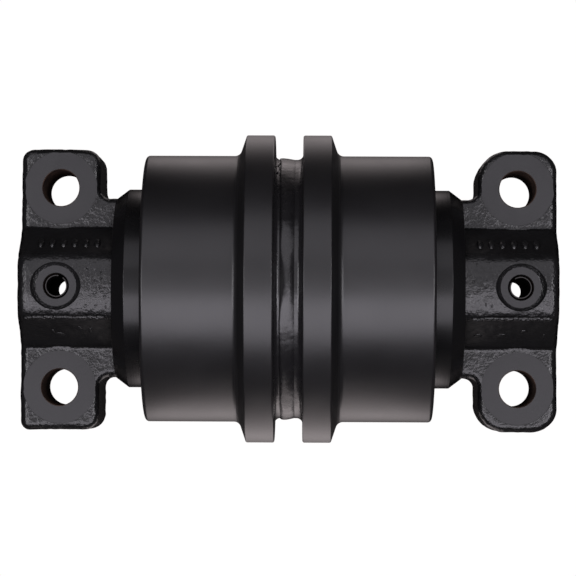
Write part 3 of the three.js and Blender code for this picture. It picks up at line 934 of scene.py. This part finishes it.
def collar_tools():
    """What is bored, drilled and faced in the collar, for the right end."""
    housing = SEAL_PLANE + GAP / 2 + HOUSING_DEPTH
    nose_end = BUSH_FLANGE_OUTER + END_PLAY
    groove_radius = BORE_RADIUS + O_RING_GROOVE_DEPTH
    clear_radius = NOSE_RADIUS + 40
    clear_start = HUB_RIM - 20
    bore = turned(
        [
            (0, clear_start),
            (clear_radius, clear_start),
            (clear_radius, HUB_RIM + 1),
            (HUB_RADIUS - 1, HUB_RIM),
            (HOUSING_MOUTH_RADIUS, HUB_RIM),
            (HOUSING_ROOT_RADIUS, housing),
            (NOSE_RADIUS, housing),
            (NOSE_RADIUS, nose_end + 0.4),
            (NOSE_RADIUS - 0.4, nose_end),
            (BORE_RADIUS, nose_end),
            (BORE_RADIUS, O_RING_Y - O_RING_GROOVE_HALF_WIDTH),
            (groove_radius, O_RING_Y - O_RING_GROOVE_HALF_WIDTH),
            (groove_radius, O_RING_Y + O_RING_GROOVE_HALF_WIDTH),
            (BORE_RADIUS, O_RING_Y + O_RING_GROOVE_HALF_WIDTH),
            (BORE_RADIUS, COLLAR_END - 2),
            (BORE_RADIUS + 4, COLLAR_END + 2),
            (0, COLLAR_END + 2),
        ]
    )
    bolt = [
        (0, MOUNT_Z - 4),
        (BOLT_HOLE_RADIUS + 4.8, MOUNT_Z - 4),
        (BOLT_HOLE_RADIUS, MOUNT_Z + 0.8),
        (BOLT_HOLE_RADIUS, SPOT_FACE_Z - 0.5),
        (BOLT_HOLE_RADIUS + 0.5, SPOT_FACE_Z),
        (SPOT_FACE_RADIUS, SPOT_FACE_Z),
        (SPOT_FACE_RADIUS, CROWN_TOP),
        (0, CROWN_TOP),
    ]
    pin = [
        (0, MOUNT_Z - 4),
        (PIN_HOLE_RADIUS, MOUNT_Z - 4),
        (PIN_HOLE_RADIUS, PIN_SEAT_Z - 0.4),
        (PIN_HOLE_RADIUS + 0.4, PIN_SEAT_Z),
        (PIN_SEAT_RADIUS - 0.6, PIN_SEAT_Z),
        (PIN_SEAT_RADIUS, PIN_SEAT_Z + 0.3),
        # the seat's wall, and above it the rim that opens out into the crown
        (PIN_SEAT_RADIUS + 1.7, PIN_SEAT_Z + 1.6),
        (PIN_SEAT_RADIUS + 2.1, CROWN_TOP - 1.2),
        (PIN_SEAT_RADIUS + 3.2, CROWN_TOP + 0.6),
        (PIN_SEAT_RADIUS + 3.2, CROWN_TOP + 6),
        (0, CROWN_TOP + 6),
    ]
    bolts = [upright(bolt, x, BOLT_Y) for x in (-BOLT_X, BOLT_X)]
    return [bore, upright(pin, 0, BOLT_Y), *bolts]


def collar_paint_rules(side):
    """Which faces are machined seats, rusted bores, bare inside, the turned hub, or sloping sides; the
    hub and the sloping sides get paints with painted shade.
    """

    def from_axis(centres, x):
        return np.hypot(centres[:, 0] - x, centres[:, 1] - side * BOLT_Y)

    def seats(centres, normals):
        level = [np.abs(centres[:, 2] - z) < 0.05 for z in (SPOT_FACE_Z, PIN_SEAT_Z, MOUNT_Z)]
        return (np.abs(normals[:, 2]) > 0.99) & (level[0] | level[1] | level[2])

    def holes(centres, normals):
        near = [from_axis(centres, x) < BOLT_HOLE_RADIUS + 0.8 for x in (-BOLT_X, BOLT_X)]
        pin = (from_axis(centres, 0) < PIN_HOLE_RADIUS + 0.1) & (centres[:, 2] < PIN_SEAT_Z)
        return (np.abs(normals[:, 2]) < 0.9) & (near[0] | near[1] | pin)

    def inside(centres, normals):
        radii = np.hypot(centres[:, 0], centres[:, 2])
        out = side * centres[:, 1]
        shaft_bore = (radii < BORE_RADIUS + 4) & (out < COLLAR_END - 1)
        return shaft_bore | ((radii < HOUSING_MOUTH_RADIUS) & (out < SEAL_PLANE + 14))

    def hub(centres, normals):
        radii = np.hypot(centres[:, 0], centres[:, 2])
        taper = math.radians(HUB_TAPER)
        past = side * centres[:, 1] - HUB_SHOULDER
        from_cone = (radii - HUB_RADIUS) * math.cos(taper) + past * math.sin(taper)
        return (np.abs(np.where(past < 0, radii - HUB_RADIUS, from_cone)) < 0.1) & (past < 10)

    def slopes(centres, normals):
        out = np.abs(centres[:, 0])
        sloping = (out > CROWN_REACH + 1.5) & (out < BARREL_REACH) & (centres[:, 2] > EAR_Z + 1)
        leaning = np.abs(np.abs(normals[:, 0]) - math.sin(barrel_slope())) < 0.12
        return sloping & leaning & (side * centres[:, 1] > HUB_BACK)

    return seats, holes, inside, hub, slopes


def make_collars(paints):
    """Each collar: its casting cut flat underneath, joined to its hub and marks, then machined."""
    for seed, (name, side) in enumerate(SIDES.items(), 20):
        casting = mirrored(collar_casting(name, seed), side)
        piece = solid_object(f"collar_{name}_machined", casting)
        under = block((-120, BARREL_INNER - 10, MOUNT_Z - 20), (120, COLLAR_END + 20, MOUNT_Z))
        carve(piece, [solid_object("tool", mirrored(under, side))])
        added = [hub_shape(), *cast_marks(seed)]
        carve(piece, [solid_object("added", mirrored(shape, side)) for shape in added], "UNION")
        carve(piece, [solid_object("tool", mirrored(tool, side)) for tool in collar_tools()])
        chosen = [paints[kind] for kind in ("cast", "seat", "oxide", "bare", "neck", "slope")]
        paint_faces(piece, chosen, collar_paint_rules(side))
        finish(piece, FIXED, f"collar_{name}", flat=1)


# ---------------------------------------------------------------- shaft, plug and lock pins


def make_shaft(paints):
    """The ground shaft, with its oil gallery and cross hole and the holes for the lock pins."""
    end = SHAFT_END
    past = 40  # far enough to cut right through the shaft
    right_end = [
        (SHAFT_RADIUS, end - SHAFT_CHAMFER),
        (SHAFT_RADIUS - SHAFT_CHAMFER, end),
        (CENTRE_DRILL_RADIUS + 0.6, end),
        (CENTRE_DRILL_RADIUS, end - 0.6),
        (0, end - CENTRE_DRILL_DEPTH),
    ]
    left_end = [(radius, -y) for radius, y in reversed(right_end)]
    piece = solid_object("shaft_ground", turned([*left_end, *right_end], 192))
    plug_floor = PLUG_TOP - PLUG_LENGTH
    plug_bore = PLUG_RADIUS + GAP
    gallery = [
        (0, -6),
        (GALLERY_RADIUS, -4),
        (GALLERY_RADIUS, plug_floor - 2),
        (plug_bore, plug_floor - GAP),
        (plug_bore, end - 0.7),
        (plug_bore + 1, end + 0.3),
        (0, end + 0.3),
    ]
    verts, faces = turned(gallery, 64)
    across = turned([(0, 0), (CROSS_HOLE_RADIUS, 0), (CROSS_HOLE_RADIUS, past), (0, past)], 32)
    pin_hole = [(0, -past), (PIN_HOLE_RADIUS, -past), (PIN_HOLE_RADIUS, past), (0, past)]
    tools = [
        (verts + (PLUG_X, 0, 0), faces),
        (across[0][:, [1, 0, 2]] + (PLUG_X, 0, 0), across[1]),
        *[upright(pin_hole, 0, side * BOLT_Y) for side in SIDES.values()],
    ]
    carve(piece, [solid_object("tool", tool) for tool in tools])

    def painted_end(centres, normals):
        radii = np.hypot(centres[:, 0], centres[:, 2])
        from_end = end - np.abs(centres[:, 1])
        in_centre_hole = (radii < CENTRE_DRILL_RADIUS + 1) & (from_end < CENTRE_DRILL_DEPTH + 1)
        return in_centre_hole | (from_end < SHAFT_CHAMFER + 0.1)

    paint_faces(piece, (paints["ground"], paints["seat"]), [painted_end])
    finish(piece, FIXED, "shaft")


def make_plug(paints):
    """The filler plug, with its hexagon socket."""
    top = PLUG_TOP
    floor = PLUG_TOP - PLUG_LENGTH
    plug = [
        (0, floor),
        (PLUG_RADIUS - 1, floor),
        (PLUG_RADIUS, floor + 1),
        (PLUG_RADIUS, top - 0.6),
        (PLUG_RADIUS - 0.6, top),
        (0, top),
    ]
    verts, faces = turned(plug, 64)
    piece = solid_object("plug_turned", (verts + (PLUG_X, 0, 0), faces))
    corner = PLUG_HEX / math.cos(math.pi / 6) / 2
    socket = [(0, top - PLUG_HEX), (corner, top - PLUG_HEX), (corner, top + 2), (0, top + 2)]
    hexagon, sides = turned(socket, 6)
    carve(piece, [solid_object("tool", (hexagon + (PLUG_X, 0, 0), sides))])
    paint_faces(piece, (paints["seat"],), [])
    finish(piece, FIXED, "oil_plug")


def make_lock_pins(paints):
    """Slotted spring pins, rolled from strip, with chamfered ends."""
    chamfer = 0.8
    outer = PIN_RADIUS
    inner = PIN_RADIUS - PIN_WALL
    levels = [
        (PIN_BOTTOM, chamfer),
        (PIN_BOTTOM + chamfer, 0.0),
        (PIN_TOP - chamfer, 0.0),
        (PIN_TOP, chamfer),
    ]

    def loop(z, inset, turn, y):
        points = []
        for radius, direction in ((outer - inset, 1), (inner + inset * 0.3, -1)):
            gap = math.asin((PIN_SLOT / 2 + inset * 0.5) / radius)
            angles = np.linspace(gap, 2 * math.pi - gap, 81)[::direction] + turn
            points += [(radius * math.cos(a), y + radius * math.sin(a), z) for a in angles]
        return points

    for name, side in SIDES.items():
        turn = math.radians(PIN_SLOT_ANGLE[name])
        loops = [loop(z, inset, turn, side * BOLT_Y) for z, inset in levels]
        piece = solid_object(f"lock_pin_{name}_rolled", lofted(loops), [paints["spring"]])
        finish(piece, FIXED, f"lock_pin_{name}")


# ---------------------------------------------------------------- bushes and seals


def bush_profile():
    """A bush from its thin inner end to its flange."""
    inner = BORE_RADIUS
    outer = BUSH_OUTER_RADIUS
    return [
        (inner + 0.6, BUSH_INNER_END),
        (inner, BUSH_INNER_END + 0.6),
        (inner, BUSH_FLANGE_OUTER - 1),
        (inner + 1, BUSH_FLANGE_OUTER),
        (BUSH_FLANGE_RADIUS - 0.5, BUSH_FLANGE_OUTER),
        (BUSH_FLANGE_RADIUS, BUSH_FLANGE_OUTER - 0.5),
        (BUSH_FLANGE_RADIUS, BUSH_FLANGE_INNER),
        (outer, BUSH_FLANGE_INNER),
        (outer, BUSH_INNER_END + 1.5),
        (outer - 1, BUSH_INNER_END),
    ]


def seal_ring_profile(way):
    """A metal seal ring, set back from the seal plane towards the centre (-1) or outwards (1)."""

    def back(depth):
        return SEAL_PLANE + way * (GAP / 2 + depth)

    return [
        (SEAL_BORE_RADIUS, back(SEAL_HEIGHT)),
        (SEAL_BORE_RADIUS, back(1.2)),
        (48.5, back(0)),
        (53.6, back(0)),
        (54.2, back(0.3)),
        (54.5, back(1)),
        (54.5, back(3.2)),
        *[(r, back(d)) for r, d in ((52, 3.6), (50.2, 3.9), (49.3, 4.6), (48.2, 6.4), (47.6, 8.2))],
        (48.5, back(SEAL_HEIGHT)),
    ]


def make_bushes_and_seals(paints):
    """The pieces inside: bushes, O-rings, and seal and toric rings in pairs about the seal planes."""
    for name, side in SIDES.items():

        def ring(label, profile, materials, body, node, slot, rules=()):
            piece = solid_object(label, mirrored(turned(profile, 128), side))
            paint_faces(piece, materials, rules)
            finish(piece, body, node)

        def lining(centres, normals):
            thin = np.hypot(centres[:, 0], centres[:, 2]) < BORE_RADIUS + 1.1
            return thin | (side * centres[:, 1] > BUSH_FLANGE_OUTER - 0.6)

        def lapped(centres, normals):
            return np.abs(np.abs(centres[:, 1]) - SEAL_PLANE) < GAP

        metals = (paints["ground"], paints["bronze"])
        irons = (paints["iron"], paints["ground"])
        rubber = (paints["rubber"],)
        ring(f"bush_{name}_lined", bush_profile(), metals, TURNING, f"bush_{name}", "bronze", [lining])
        for label, way, body in (("turning", -1, TURNING), ("fixed", 1, FIXED)):
            end = f"{label}_{name}"
            seal = seal_ring_profile(way)
            ring(f"seal_{end}_lapped", seal, irons, body, f"seal_ring_{end}", "seal_iron", [lapped])
            middle = SEAL_PLANE + way * (GAP / 2 + TORIC_SETBACK)
            toric = arc(TORIC_CENTRE_RADIUS, middle, TORIC_SECTION, 0, 345, 23)
            ring(f"toric_{end}_moulded", toric, rubber, body, f"toric_ring_{end}", "rubber")
        o_ring = arc(O_RING_CENTRE_RADIUS, O_RING_Y, O_RING_SECTION, 0, 340, 17)
        ring(f"o_ring_{name}_moulded", o_ring, rubber, FIXED, f"shaft_o_ring_{name}", "rubber")


# ---------------------------------------------------------------- everything

make_studio()

PAINTS = {
    "turned": turned_paint(),
    "cast": cast_paint(),
    "slope": shaded_slope_paint(),
    "seat": seat_paint(),
    "flank": shaded_flank_paint(),
    "neck": shaded_neck_paint(),
    "groove": groove_paint(),
    "oxide": bore_oxide(),
    "bare": bare_steel("turned_steel", (0.33, 0.33, 0.34), 0.34, RINGS),
    "ground": bare_steel("ground_steel", (0.52, 0.52, 0.53), 0.2, RINGS),
    "spring": bare_steel("blackened_spring_steel", (0.045, 0.043, 0.042), 0.34, UPRIGHT_RINGS),
    "bronze": bare_steel("bronze_lining", (0.58, 0.36, 0.15), 0.3, RINGS),
    "iron": bare_steel("hard_cast_iron", (0.2, 0.2, 0.21), 0.42, RINGS),
    "rubber": soft_rubber(),
}

make_shell(PAINTS)
make_weld(PAINTS)
make_spatter(PAINTS)
make_collars(PAINTS)
make_shaft(PAINTS)
make_plug(PAINTS)
make_lock_pins(PAINTS)
make_bushes_and_seals(PAINTS)
